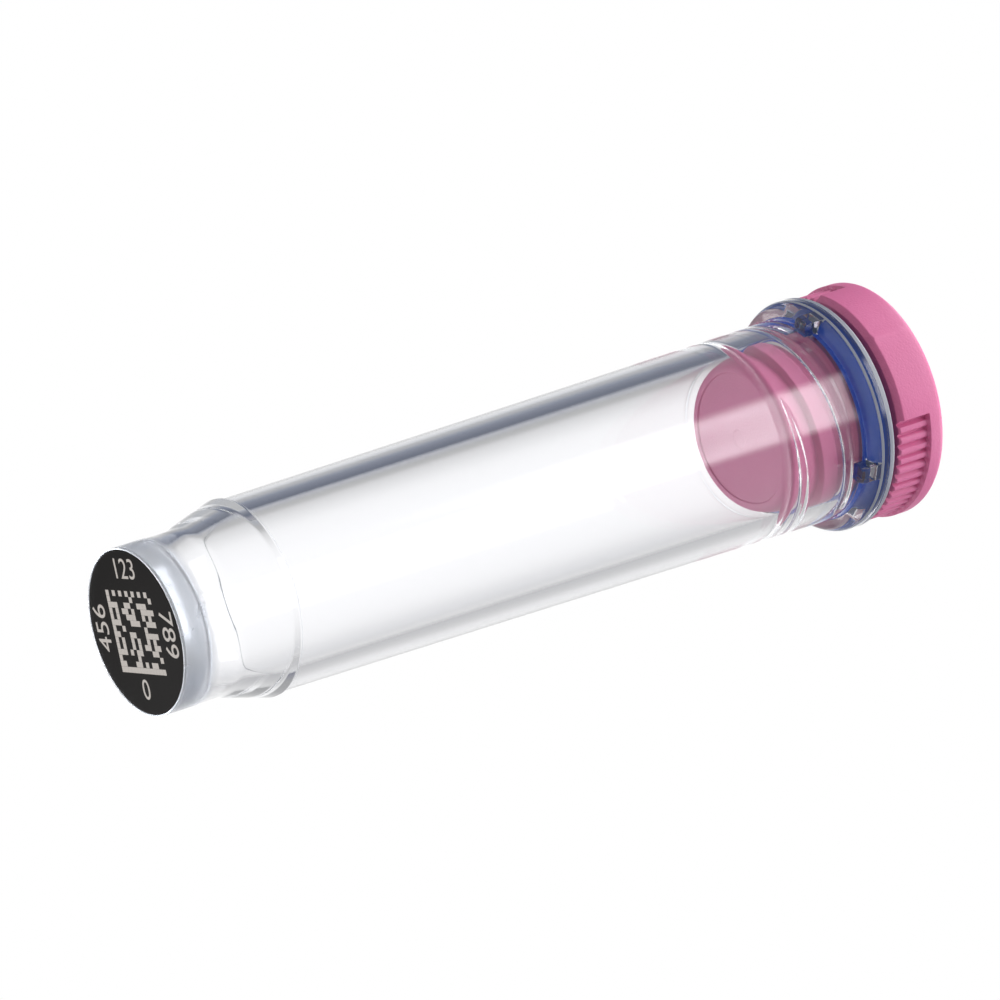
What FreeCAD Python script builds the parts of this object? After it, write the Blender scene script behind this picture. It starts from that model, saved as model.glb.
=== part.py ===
"""Internal-thread cryovial: a clear tube with a code disc in its foot, and a screw cap with a seal ring.

Frame: millimetres, +Z up from the foot to the cap, origin at the middle of the foot's standing edge.
Angles are measured about +Z from -Y towards +X.
"""

import FreeCAD, Part

import math
import os

import Sketcher

App = FreeCAD
Z_AXIS = App.Vector(0, 0, 1)
Y_AXIS = App.Vector(0, 1, 0)
ON_CIRCLE = 1e-4

SIZES = [
    ("across_angle", 90, "angle of +X, from which sketches are turned"),
    # tube, outside
    ("tube_length", 42.8, "standing edge to rim"),
    ("body_radius", 5.43, "outside of the tube under the collar"),
    ("body_taper", 0.40, "how much less the outside radius is above the shoulder"),
    ("skirt_height", 3.45, "straight part of the foot"),
    ("skirt_step", 0.81, "shoulder radius less foot radius"),
    ("shoulder_height", 6.5, "standing edge to the shoulder's upper edge"),
    ("shoulder_band", 0.15, "height of the shoulder's cylindrical edge"),
    ("shoulder_proud", 0.11, "shoulder radius over the tube above it"),
    ("shoulder_blend", 2.0, "round where the foot meets the shoulder"),
    ("foot_round", 0.05, "round of the standing edge"),
    ("collar_overhang", 0.77, "collar radius over the tube"),
    ("collar_height", 1.3, "collar, under side to rim"),
    ("collar_round", 0.75, "round under the collar"),
    ("round_spare", 0.02, "what a round leaves of the step that it is on"),
    ("rim_round", 0.12, "round of the rim's outer edge"),
    ("rack_rib_width", 0.9, "rib under the collar, across"),
    ("rack_rib_drop", 0.8, "how far a rib reaches below the collar"),
    ("rack_rib_inset", 0.05, "collar radius over the ribs"),
    ("rack_rib_angle", 38.2, "first rib"),
    ("rack_rib_count", 4, "ribs round the tube"),
    # tube, inside
    ("wall_top", 1.13, "wall under the thread"),
    ("wall_foot", 0.91, "wall above the shoulder"),
    ("floor_height", 1.90, "standing edge to the cavity's floor"),
    ("floor_inset", 0.92, "bore radius over the floor's radius"),
    ("floor_round", 0.6, "round of the floor's edge"),
    ("thread_relief", 0.30, "thread bore radius over the bore below it"),
    ("relief_lead_in", 0.30, "height of the cone between the two bores"),
    ("mouth_step", 0.65, "mouth radius over the thread bore"),
    ("mouth_depth", 1.2, "rim to the mouth's floor"),
    ("mouth_chamfer", 0.10, "chamfer of the rim's inner edge"),
    # threads
    ("thread_lead", 2.85, "rise in one turn"),
    ("thread_clearance", 0.10, "radial gap at the crests of both threads"),
    ("thread_play", 0.11, "axial gap between the loaded flanks"),
    ("flank_slope", 0.12, "how much narrower half a thread is at its crest"),
    ("tube_thread_width", 0.64, "tube thread at its root"),
    ("tube_thread_rise", 3.62, "tube thread, first middle to last middle"),
    ("tube_thread_angle", -14.4, "where the tube thread starts"),
    ("thread_runout", 0.5, "mouth floor to the middle of the tube thread's end"),
    ("plug_thread_width", 1.3, "plug thread at its root"),
    ("plug_thread_rise", 2.14, "plug thread, first middle to last middle"),
    ("plug_thread_angle", -80, "where the plug thread starts"),
    ("thread_root_overlap", 0.08, "how deep a thread is rooted in its wall"),
    # code disc
    ("disc_thickness", 0.20, "code disc"),
    ("disc_lip", 0.09, "wall of the foot round the disc"),
    ("disc_clearance", 0.01, "radial gap round the disc"),
    # cap
    ("cap_gap", 0.40, "rim to the cap's under side"),
    ("head_overhang", 0.05, "head radius over the collar"),
    ("head_height", 2.85, "cap's under side to its top"),
    ("head_chamfer", 0.28, "chamfer under the head"),
    ("head_round", 0.38, "round of the head's top edge"),
    ("plug_nose", 0.42, "plug's end below the middle of the tube thread's start"),
    ("plug_end_round", 0.55, "round of the plug's end"),
    ("neck_clearance", 0.15, "radial gap between the neck and the thread bore"),
    ("neck_play", 0.08, "the neck's lower edge above the tube thread's end"),
    ("socket_wall", 1.20, "wall of the plug round the socket"),
    ("socket_end", 1.70, "thickness of the plug's end"),
    ("socket_chamfer", 0.25, "chamfer of the socket's mouth"),
    ("grip_angle", 15.8, "where the first ribbed grip starts"),
    ("grip_grooves", 17, "grooves in a grip"),
    ("grip_pitch", 5.7, "degrees from one groove to the next"),
    ("grip_depth", 0.18, "how far the ribs' crests lie inside the head's side"),
    ("grip_height", 1.87, "cap's under side to the top of a grip"),
    ("grip_margin", 2.0, "degrees from a grip's end to its first groove"),
    ("groove_depth", 0.20, "depth of a groove below the ribs' crests"),
    ("groove_width", 0.30, "opening of a groove at the ribs' crests"),
    ("groove_floor", 0.12, "floor of a groove, across"),
    ("groove_stop", 0.05, "end of a groove below the top of its grip"),
    ("cut_past", 1.0, "how far a cut runs past the surface it starts from"),
    # seal ring
    ("seal_clearance", 0.05, "gap round the seal ring"),
    ("seal_floor_gap", 0.12, "seal ring above the mouth's floor"),
    ("seal_round", 0.20, "round of the ring's lower edges"),
]

# Radii and heights that several pieces share, as formulas of the sizes above.
SHOULDER_R = "(sizes.body_radius - sizes.body_taper + sizes.shoulder_proud)"
SKIRT_R = f"({SHOULDER_R} - sizes.skirt_step)"
FOOT_BODY_R = "(sizes.body_radius - sizes.body_taper)"
COLLAR_R = "(sizes.body_radius + sizes.collar_overhang)"
BORE_TOP_R = "(sizes.body_radius - sizes.wall_top)"
BORE_FOOT_R = f"({FOOT_BODY_R} - sizes.wall_foot)"
THREAD_BORE_R = f"({BORE_TOP_R} + sizes.thread_relief)"
MOUTH_R = f"({THREAD_BORE_R} + sizes.mouth_step)"
PLUG_R = f"({BORE_TOP_R} - sizes.thread_clearance)"
NECK_R = f"({THREAD_BORE_R} - sizes.neck_clearance)"
HEAD_R = f"({COLLAR_R} + sizes.head_overhang)"
SOCKET_R = f"({PLUG_R} - sizes.socket_wall)"
SEAT_R = f"({SKIRT_R} - sizes.disc_lip)"
MOUTH_Z = "(sizes.tube_length - sizes.mouth_depth)"
THREAD_START_Z = f"({MOUTH_Z} - sizes.thread_runout - sizes.tube_thread_rise)"
RELIEF_Z = f"({THREAD_START_Z} - sizes.tube_thread_width / 2 - sizes.relief_lead_in)"
UNDER_Z = "(sizes.tube_length + sizes.cap_gap)"
CAP_TOP_Z = f"({UNDER_Z} + sizes.head_height)"
PLUG_Z = f"({THREAD_START_Z} - sizes.plug_nose)"
NECK_Z = f"({MOUTH_Z} - sizes.thread_runout + sizes.tube_thread_width / 2 + sizes.neck_play)"
COLLAR_Z = "(sizes.tube_length - sizes.collar_height)"
DISC_TOP_Z = "sizes.disc_thickness"

doc = App.newDocument("cryovial")


def fill_sheet():
    """Write the driving dimensions, one row each: name, value and what it is."""
    sheet = doc.addObject("Spreadsheet::Sheet", "sizes")
    for row, (alias, value, meaning) in enumerate(SIZES, start=1):
        sheet.set(f"A{row}", alias)
        sheet.set(f"B{row}", str(value))
        sheet.set(f"C{row}", meaning)
        sheet.setAlias(f"B{row}", alias)
    doc.recompute()
    return sheet


sheet = fill_sheet()


def value(formula):
    """The number that a formula of the sheet's sizes gives."""
    return float(sheet.evalExpression(formula))


def new_body(label):
    """An empty body whose label names its piece."""
    body = doc.addObject("PartDesign::Body", label + "_body")
    body.Label = label
    return body


def origin_feature(body, role):
    """One of the body's own origin planes or axes."""
    return next(f for f in body.Origin.OriginFeatures if f.Role == role)


def new_sketch(body, name, plane="XZ_Plane"):
    """A sketch on one of the body's origin planes."""
    sketch = body.newObject("Sketcher::SketchObject", name)
    sketch.AttachmentSupport = (origin_feature(body, plane), [""])
    sketch.MapMode = "FlatFace"
    return sketch


def turn_sketch(sketch, axis, angle):
    """Turn a sketch about Z (its own axis as given), so that its +across side lies at the angle."""
    sketch.AttachmentOffset = App.Placement(App.Vector(), App.Rotation(axis, 0))
    sketch.setExpression(".AttachmentOffset.Rotation.Angle", f"{angle} - sizes.across_angle")


def outline(sketch, corners):
    """A closed outline of straight lines through corners, each a pair of formulas (across, up)."""
    spots = [App.Vector(value(x), value(y), 0) for x, y in corners]
    following = spots[1:] + spots[:1]
    lines = [
        sketch.addGeometry(Part.LineSegment(start, end), False)
        for start, end in zip(spots, following)
    ]
    for line, after in zip(lines, lines[1:] + lines[:1]):
        sketch.addConstraint(Sketcher.Constraint("Coincident", line, 2, after, 1))
    for line, (x, y) in zip(lines, corners):
        place(sketch, line, 1, x, y)


def place(sketch, geometry, point, x, y):
    """Hold a point of a sketch's geometry at two formulas, or on an axis where a formula is 0."""
    for kind, formula, axis in (("DistanceX", x, -2), ("DistanceY", y, -1)):
        if formula == "0":
            sketch.addConstraint(Sketcher.Constraint("PointOnObject", geometry, point, axis))
        else:
            rule = Sketcher.Constraint(kind, -1, 1, geometry, point, value(formula))
            index = sketch.addConstraint(rule)
            sketch.setExpression(f"Constraints[{index}]", formula)


def revolve(body, sketch, name):
    """Turn a sketch full circle about Z, as solid."""
    turned = body.newObject("PartDesign::Revolution", name)
    turned.Profile = sketch
    turned.ReferenceAxis = (sketch, ["V_Axis"])
    turned.Angle = 360
    doc.recompute()
    return turned


def circle_edges(feature, spots):
    """Names of the feature's circular edges about Z at each (radius formula, height formula)."""
    names = []
    for radius, height in spots:
        r, z = value(radius), value(height)
        for number, edge in enumerate(feature.Shape.Edges, start=1):
            if not isinstance(edge.Curve, Part.Circle):
                continue
            centre = edge.Curve.Center
            if (
                abs(edge.Curve.Radius - r) < ON_CIRCLE
                and abs(centre.z - z) < ON_CIRCLE
                and math.hypot(centre.x, centre.y) < ON_CIRCLE
            ):
                names.append(f"Edge{number}")
    if len(names) < len(spots):
        raise RuntimeError(f"{feature.Name}: an edge to round was not found")
    return names


def round_edges(body, feature, name, spots, radius):
    """Fillet the circular edges at spots."""
    rounded = body.newObject("PartDesign::Fillet", name)
    rounded.Base = (feature, circle_edges(feature, spots))
    rounded.setExpression("Radius", radius)
    doc.recompute()
    return rounded


def chamfer_edges(body, feature, name, spots, size):
    """Chamfer the circular edges at spots."""
    cut = body.newObject("PartDesign::Chamfer", name)
    cut.Base = (feature, circle_edges(feature, spots))
    cut.setExpression("Size", size)
    doc.recompute()
    return cut


def polar(body, feature, name, angle, count):
    """Repeat a feature about Z: count of them over the angle."""
    pattern = body.newObject("PartDesign::PolarPattern", name)
    pattern.Originals = [feature]
    pattern.Axis = (origin_feature(body, "Z_Axis"), [""])
    pattern.setExpression("Angle", angle)
    pattern.setExpression("Occurrences", count)
    body.Tip = pattern
    doc.recompute()
    return pattern


def add_thread(body, name, wall, crest, middle, width, start, rise):
    """A right-handed ridge of trapezoid section, from the wall radius to the crest radius."""
    sketch = new_sketch(body, name + "_section")
    turn_sketch(sketch, Y_AXIS, start)
    half_root = f"{width} / 2"
    half_crest = f"({width} / 2 - sizes.flank_slope)"
    outline(
        sketch,
        [
            (wall, f"{middle} - {half_root}"),
            (crest, f"{middle} - {half_crest}"),
            (crest, f"{middle} + {half_crest}"),
            (wall, f"{middle} + {half_root}"),
        ],
    )
    doc.recompute()
    thread = body.newObject("PartDesign::AdditiveHelix", name)
    thread.Profile = sketch
    thread.ReferenceAxis = (sketch, ["V_Axis"])
    thread.Mode = "pitch-height-angle"
    thread.setExpression("Pitch", "sizes.thread_lead")
    thread.setExpression("Height", rise)
    thread.LeftHanded = False
    thread.Reversed = False
    doc.recompute()
    return thread


def make_tube():
    """The clear tube: foot, shoulder, tapered body, collar with rack ribs, stepped bore and thread."""
    body = new_body("tube")
    section = new_sketch(body, "tube_section")
    outline(
        section,
        [
            ("0", DISC_TOP_Z),
            (SEAT_R, DISC_TOP_Z),
            (SEAT_R, "0"),
            (SKIRT_R, "0"),
            (SKIRT_R, "sizes.skirt_height"),
            (SHOULDER_R, "sizes.shoulder_height - sizes.shoulder_band"),
            (SHOULDER_R, "sizes.shoulder_height"),
            (FOOT_BODY_R, "sizes.shoulder_height"),
            ("sizes.body_radius", COLLAR_Z),
            (COLLAR_R, COLLAR_Z),
            (COLLAR_R, "sizes.tube_length"),
            (MOUTH_R, "sizes.tube_length"),
            (MOUTH_R, MOUTH_Z),
            (THREAD_BORE_R, MOUTH_Z),
            (THREAD_BORE_R, f"{RELIEF_Z} + sizes.relief_lead_in"),
            (BORE_TOP_R, RELIEF_Z),
            (BORE_FOOT_R, "sizes.shoulder_height"),
            (f"{BORE_FOOT_R} - sizes.floor_inset", "sizes.floor_height"),
            ("0", "sizes.floor_height"),
        ],
    )
    solid = revolve(body, section, "tube_blank")
    solid = round_edges(
        body, solid, "collar_under", [(COLLAR_R, COLLAR_Z)],
        "min(sizes.collar_round; sizes.collar_overhang - sizes.round_spare)",
    )
    solid = round_edges(
        body, solid, "rim_edge", [(COLLAR_R, "sizes.tube_length")], "sizes.rim_round"
    )
    solid = chamfer_edges(
        body, solid, "mouth_edge", [(MOUTH_R, "sizes.tube_length")], "sizes.mouth_chamfer"
    )
    solid = round_edges(
        body, solid, "cavity_floor",
        [(f"{BORE_FOOT_R} - sizes.floor_inset", "sizes.floor_height")], "sizes.floor_round",
    )
    solid = round_edges(
        body, solid, "shoulder_foot", [(SKIRT_R, "sizes.skirt_height")], "sizes.shoulder_blend"
    )
    round_edges(body, solid, "standing_edge", [(SKIRT_R, "0")], "sizes.foot_round")

    rib_sketch = new_sketch(body, "rack_rib_plan", "XY_Plane")
    turn_sketch(rib_sketch, Z_AXIS, "sizes.rack_rib_angle")
    rib_sketch.setExpression(".AttachmentOffset.Base.z", f"{COLLAR_Z} - sizes.rack_rib_drop")
    root = f"({MOUTH_R} + sizes.body_radius) / 2"
    tip = f"{COLLAR_R} - sizes.rack_rib_inset"
    outline(
        rib_sketch,
        [
            (root, "-sizes.rack_rib_width / 2"),
            (tip, "-sizes.rack_rib_width / 2"),
            (tip, "sizes.rack_rib_width / 2"),
            (root, "sizes.rack_rib_width / 2"),
        ],
    )
    doc.recompute()
    rib = body.newObject("PartDesign::Pad", "rack_rib")
    rib.Profile = rib_sketch
    rib.setExpression("Length", "sizes.rack_rib_drop + sizes.collar_height / 2")
    doc.recompute()
    polar(body, rib, "rack_ribs", "360", "sizes.rack_rib_count")
    add_thread(
        body, "tube_thread",
        wall=f"{THREAD_BORE_R} + sizes.thread_root_overlap",
        crest=f"{THREAD_BORE_R} - sizes.thread_relief",
        middle=THREAD_START_Z,
        width="sizes.tube_thread_width",
        start="sizes.tube_thread_angle",
        rise="sizes.tube_thread_rise",
    )
    return body


def make_code_disc():
    """The flat disc let into the foot, level with the standing edge and face to face with its seat."""
    body = new_body("code_disc")
    section = new_sketch(body, "disc_section")
    radius = f"{SEAT_R} - sizes.disc_clearance"
    outline(section, [("0", "0"), (radius, "0"), (radius, DISC_TOP_Z), ("0", DISC_TOP_Z)])
    revolve(body, section, "disc")
    return body


def make_seal_ring():
    """The soft ring round the cap's neck, in the tube's mouth."""
    body = new_body("seal_ring")
    section = new_sketch(body, "seal_section")
    inside = f"{NECK_R} + sizes.seal_clearance"
    outside = f"{MOUTH_R} - sizes.seal_clearance"
    low = f"{MOUTH_Z} + sizes.seal_floor_gap"
    high = f"{UNDER_Z} - sizes.seal_clearance"
    outline(section, [(inside, low), (outside, low), (outside, high), (inside, high)])
    solid = revolve(body, section, "seal_blank")
    round_edges(body, solid, "seal_edge", [(outside, low)], "sizes.seal_round")
    return body


def make_cap():
    """The cap: head with two ribbed grips, neck, threaded plug with a closed end, and socket."""
    body = new_body("cap")
    section = new_sketch(body, "cap_section")
    socket_z = f"{PLUG_Z} + sizes.socket_end"
    outline(
        section,
        [
            ("0", PLUG_Z),
            (PLUG_R, PLUG_Z),
            (PLUG_R, f"{NECK_Z} - ({NECK_R} - {PLUG_R})"),
            (NECK_R, NECK_Z),
            (NECK_R, UNDER_Z),
            (HEAD_R, UNDER_Z),
            (HEAD_R, CAP_TOP_Z),
            (SOCKET_R, CAP_TOP_Z),
            (SOCKET_R, socket_z),
            ("0", socket_z),
        ],
    )
    solid = revolve(body, section, "cap_blank")
    solid = chamfer_edges(body, solid, "head_under", [(HEAD_R, UNDER_Z)], "sizes.head_chamfer")
    solid = round_edges(body, solid, "head_top", [(HEAD_R, CAP_TOP_Z)], "sizes.head_round")
    solid = round_edges(body, solid, "plug_end", [(PLUG_R, PLUG_Z)], "sizes.plug_end_round")
    chamfer_edges(
        body, solid, "socket_mouth", [(SOCKET_R, CAP_TOP_Z)], "sizes.socket_chamfer"
    )
    add_thread(
        body, "plug_thread",
        wall=f"{PLUG_R} - sizes.thread_root_overlap",
        crest=f"{THREAD_BORE_R} - sizes.thread_clearance",
        middle=(
            f"{THREAD_START_Z} + sizes.thread_lead"
            " * (1 + (sizes.plug_thread_angle - sizes.tube_thread_angle) / 360)"
            " - (sizes.tube_thread_width + sizes.plug_thread_width) / 2 - sizes.thread_play"
        ),
        width="sizes.plug_thread_width",
        start="sizes.plug_thread_angle",
        rise="sizes.plug_thread_rise",
    )
    cut_grips(body)
    return body


def cut_grips(body):
    """Two opposite shallow recesses in the head's side, each with a row of rounded axial grooves."""
    crest = f"{HEAD_R} - sizes.grip_depth"
    outside = f"{HEAD_R} + sizes.cut_past"
    low = f"{UNDER_Z} - sizes.cut_past"
    high = f"{UNDER_Z} + sizes.grip_height"
    recess_sketch = new_sketch(body, "grip_section")
    turn_sketch(recess_sketch, Y_AXIS, "sizes.grip_angle")
    outline(recess_sketch, [(crest, low), (outside, low), (outside, high), (crest, high)])
    doc.recompute()
    before = body.Shape.Volume
    recess = body.newObject("PartDesign::Groove", "grip_recess")
    recess.Profile = recess_sketch
    recess.ReferenceAxis = (recess_sketch, ["V_Axis"])
    recess.setExpression("Angle", "(sizes.grip_grooves - 1) * sizes.grip_pitch + 2 * sizes.grip_margin")
    doc.recompute()
    needs_less(recess, before)
    polar(body, recess, "grip_recesses", "360", "2")

    groove_sketch = new_sketch(body, "groove_plan", "XY_Plane")
    turn_sketch(groove_sketch, Z_AXIS, "sizes.grip_angle + sizes.grip_margin")
    groove_sketch.setExpression(".AttachmentOffset.Base.z", low)
    floor = "sizes.groove_floor / 2"
    slope = "(sizes.groove_width - sizes.groove_floor) / 2 / sizes.groove_depth"
    mouth = f"({floor} + {slope} * (sizes.groove_depth + sizes.grip_depth + sizes.cut_past))"
    deep = f"({crest} - sizes.groove_depth)"
    for side in ("", "-"):
        outline(
            groove_sketch,
            [
                (f"{side}{deep}", f"-{floor}"),
                (f"{side}({outside})", f"-{mouth}"),
                (f"{side}({outside})", mouth),
                (f"{side}{deep}", floor),
            ],
        )
    doc.recompute()
    before = body.Shape.Volume
    groove = body.newObject("PartDesign::Pocket", "grip_groove")
    groove.Profile = groove_sketch
    groove.Reversed = True
    groove.setExpression("Length", "sizes.grip_height + sizes.cut_past - sizes.groove_stop")
    doc.recompute()
    needs_less(groove, before)
    polar(
        body, groove, "grip_rows", "(sizes.grip_grooves - 1) * sizes.grip_pitch", "sizes.grip_grooves"
    )


def needs_less(feature, before):
    """Stop if a cut took nothing away."""
    if not feature.Shape.Volume < before:
        raise RuntimeError(f"{feature.Name} cut nothing")


def check_and_write(pieces):
    """Stop on any failed object or bad shape, then write one STEP file a piece."""
    doc.recompute()
    failed = [o.Name for o in doc.Objects if "Invalid" in o.State or "Error" in o.State]
    if failed:
        raise RuntimeError(f"failed objects: {failed}")
    for piece in pieces:
        shape = piece.Shape
        if shape.isNull() or not shape.isValid() or len(shape.Solids) != 1:
            raise RuntimeError(f"{piece.Label}: the shape is not one valid solid")
    os.makedirs("parts", exist_ok=True)
    for piece in pieces:
        piece.Shape.exportStep(f"parts/{piece.Label}.step")
        print(f"{piece.Label}: {piece.Shape.Volume:.2f} mm3")


check_and_write([make_tube(), make_code_disc(), make_seal_ring(), make_cap()])
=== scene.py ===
"""Cryovial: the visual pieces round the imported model, and a plain pale studio.

Sizes of the pieces are in millimetres and turned to metres as the meshes are made. Heights are counted
from the standing edge of the foot, and angles about +Z from -Y towards +X, in degrees.
"""

import logging
import math
from dataclasses import dataclass, field
from enum import Enum
from typing import NamedTuple

import bmesh
import bpy
from bmesh.types import BMesh, BMVert
from bpy.types import Material, Node, NodeSocket, NodeTree
from mathutils import Matrix, Vector


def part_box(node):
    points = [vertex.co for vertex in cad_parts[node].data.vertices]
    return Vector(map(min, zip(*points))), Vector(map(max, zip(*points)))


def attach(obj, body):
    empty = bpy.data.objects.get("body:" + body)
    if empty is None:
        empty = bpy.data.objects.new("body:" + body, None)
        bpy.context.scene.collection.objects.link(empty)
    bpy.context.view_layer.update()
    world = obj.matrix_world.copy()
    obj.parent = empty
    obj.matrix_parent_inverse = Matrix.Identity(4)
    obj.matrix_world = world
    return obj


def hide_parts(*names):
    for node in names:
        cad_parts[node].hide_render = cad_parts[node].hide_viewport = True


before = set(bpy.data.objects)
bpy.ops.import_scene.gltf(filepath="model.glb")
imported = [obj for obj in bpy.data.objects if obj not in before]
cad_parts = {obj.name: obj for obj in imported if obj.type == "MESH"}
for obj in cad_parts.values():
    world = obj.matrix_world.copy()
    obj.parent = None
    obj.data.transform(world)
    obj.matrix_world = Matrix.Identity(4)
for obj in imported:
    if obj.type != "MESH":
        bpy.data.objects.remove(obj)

MM = 0.001  # metres
FULL_TURN = 360.0  # degrees
UP = Vector((0.0, 0.0, 1.0))
TINY = 0.001  # millimetres that count as nothing
MERGE_DISTANCE = 0.0005  # millimetres
SLACK = 0.01  # millimetres that a test of place allows
NEARLY_STRAIGHT = math.radians(179.0)  # a corner more open than this stays as it is
MOST_ROUNDED = 0.98  # the share of a stretch that the rounds at its ends may take
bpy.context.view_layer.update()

Colour = tuple[float, float, float, float]
Outline = list[tuple[float, float]]

log = logging.getLogger("cryovial")


class Slot(Enum):
    """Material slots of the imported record."""

    CLEAR_TUBE = "clear_tube"
    BLACK_DISC = "black_disc"
    BLUE_SEAL = "blue_seal"
    PINK_CAP = "pink_cap"


class Body(Enum):
    """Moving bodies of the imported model."""

    VIAL = "vial"
    SEAL = "seal"
    CAP = "cap"


# ---------------------------------------------------------------- small helpers


def hex_linear(code: str) -> Colour:
    """Turn an sRGB hex colour to linear.

    Args:
        code: The colour, such as "#c85a8c".

    Returns:
        Red, green, blue and an alpha of 1.
    """
    channels = [int(code[i : i + 2], 16) / 255.0 for i in (1, 3, 5)]
    linear = [c / 12.92 if c <= 0.04045 else ((c + 0.055) / 1.055) ** 2.4 for c in channels]
    return (linear[0], linear[1], linear[2], 1.0)


def add_node(
    tree: NodeTree, kind: str, inputs: dict | None = None, **settings: object
) -> Node:
    """Add one node with its settings and links.

    Args:
        tree: The node tree.
        kind: The node's type.
        inputs: For each input, by name or index, its value, the socket that feeds it, or the node
            whose main output does.
        **settings: Properties of the node.

    Returns:
        The new node.
    """
    node = tree.nodes.new(kind)
    for name, setting in settings.items():
        setattr(node, name, setting)
    for key, source in (inputs or {}).items():
        if isinstance(source, Node):
            source = next(socket for socket in source.outputs if socket.enabled)
        if isinstance(source, NodeSocket):
            tree.links.new(source, node.inputs[key])
        else:
            node.inputs[key].default_value = source
    return node


def grey(level: float) -> Colour:
    """A linear grey."""
    return (level, level, level, 1.0)


def new_material(name: str) -> tuple[Material, NodeTree, NodeSocket]:
    """Make an empty node material.

    Args:
        name: The material's name.

    Returns:
        The material, its node tree and the socket that gives the piece's own coordinates.
    """
    material = bpy.data.materials.new(name)
    material.use_nodes = True
    tree = material.node_tree
    tree.nodes.clear()
    return material, tree, add_node(tree, "ShaderNodeTexCoord").outputs["Object"]


def ease(value: float, low: float, high: float) -> float:
    """A smooth step from 0 at low to 1 at high; low may be above high."""
    share = min(max((value - low) / (high - low), 0.0), 1.0)
    return share * share * (3.0 - 2.0 * share)


def direction(angle: float) -> Vector:
    """The level unit vector at an angle, counted from -Y towards +X in degrees."""
    turn = math.radians(angle)
    return Vector((math.sin(turn), -math.cos(turn), 0.0))


def angle_of(place: Vector) -> float:
    """The angle of a place about the tube's axis, in degrees from 0 to 360."""
    return math.degrees(math.atan2(place.x, -place.y)) % FULL_TURN


def turn_between(angle: float, centre: float) -> float:
    """How far an angle is past a centre, from -180 to 180 degrees."""
    return (angle - centre + 180.0) % FULL_TURN - 180.0


# ---------------------------------------------------------------- turned shapes


class Corner(NamedTuple):
    """A corner of a turned section: radius, height and how large its round is, in millimetres."""

    r: float
    z: float
    soft: float = 0.0


def soften(corners: list[Corner], steps: int = 6) -> Outline:
    """Round the corners of an open section.

    Args:
        corners: The section's corners in order. Two neighbours share the stretch between them by how
            soft they are.
        steps: Straight pieces in each round.

    Returns:
        The section's points, radius and height.
    """
    points = [(corners[0].r, corners[0].z)]
    for before, corner, after in zip(corners, corners[1:], corners[2:]):
        spot = Vector((corner.r, corner.z))
        back, ahead = Vector(before[:2]) - spot, Vector(after[:2]) - spot
        opening = back.angle(ahead)
        if corner.soft <= 0.0 or opening > NEARLY_STRAIGHT:
            points.append((corner.r, corner.z))
            continue
        back_share = MOST_ROUNDED * corner.soft / (corner.soft + before.soft)
        ahead_share = MOST_ROUNDED * corner.soft / (corner.soft + after.soft)
        reach = min(
            corner.soft / math.tan(opening / 2), back_share * back.length, ahead_share * ahead.length
        )
        radius = reach * math.tan(opening / 2)
        centre = spot + (back.normalized() + ahead.normalized()).normalized() * (
            radius / math.sin(opening / 2)
        )
        start = spot + back.normalized() * reach - centre
        end = spot + ahead.normalized() * reach - centre
        sweep = start.angle_signed(end)
        for step in range(steps + 1):
            spoke = start.copy()
            spoke.rotate(Matrix.Rotation(-sweep * step / steps, 2))
            points.append(tuple(centre + spoke))
    points.append((corners[-1].r, corners[-1].z))
    return points


def add_rows(points: Outline, low: float, high: float, step: float) -> Outline:
    """Divide the long stretches of a section between two heights.

    Args:
        points: The section.
        low: Lowest height that is divided.
        high: Highest height that is divided.
        step: Longest stretch left there.

    Returns:
        The section with the added points.
    """
    result = [points[0]]
    for start, end in zip(points, points[1:]):
        length = math.dist(start, end)
        inside = low - step < (start[1] + end[1]) / 2 < high + step
        parts = max(1, math.ceil(length / step)) if inside else 1
        for part in range(1, parts + 1):
            share = part / parts
            result.append(tuple(a + (b - a) * share for a, b in zip(start, end)))
    return result


def turned(points: Outline, columns: int, closed: bool = False) -> BMesh:
    """Spin a section full circle about the tube's axis.

    Args:
        points: The section, radius and height in millimetres.
        columns: Steps of the spin.
        closed: Whether the section's last point joins its first.

    Returns:
        A closed mesh with its faces outwards, in metres.
    """
    bm = bmesh.new()
    verts = [bm.verts.new((r * MM, 0.0, z * MM)) for r, z in points]
    following = verts[1:] + (verts[:1] if closed else [])
    edges = [bm.edges.new(pair) for pair in zip(verts, following)]
    bmesh.ops.spin(
        bm, geom=verts + edges, cent=(0, 0, 0), axis=UP, dvec=(0, 0, 0),
        angle=math.tau, steps=columns, use_merge=True, use_duplicate=False,
    )
    bmesh.ops.remove_doubles(bm, verts=bm.verts, dist=MERGE_DISTANCE * MM)
    bmesh.ops.recalc_face_normals(bm, faces=bm.faces)
    return bm


def set_radius(vert: BMVert, radius: float) -> None:
    """Move a vertex towards or away from the axis, to a radius in millimetres."""
    scale = radius * MM / vert.co.xy.length
    vert.co = (vert.co.x * scale, vert.co.y * scale, vert.co.z)


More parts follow.
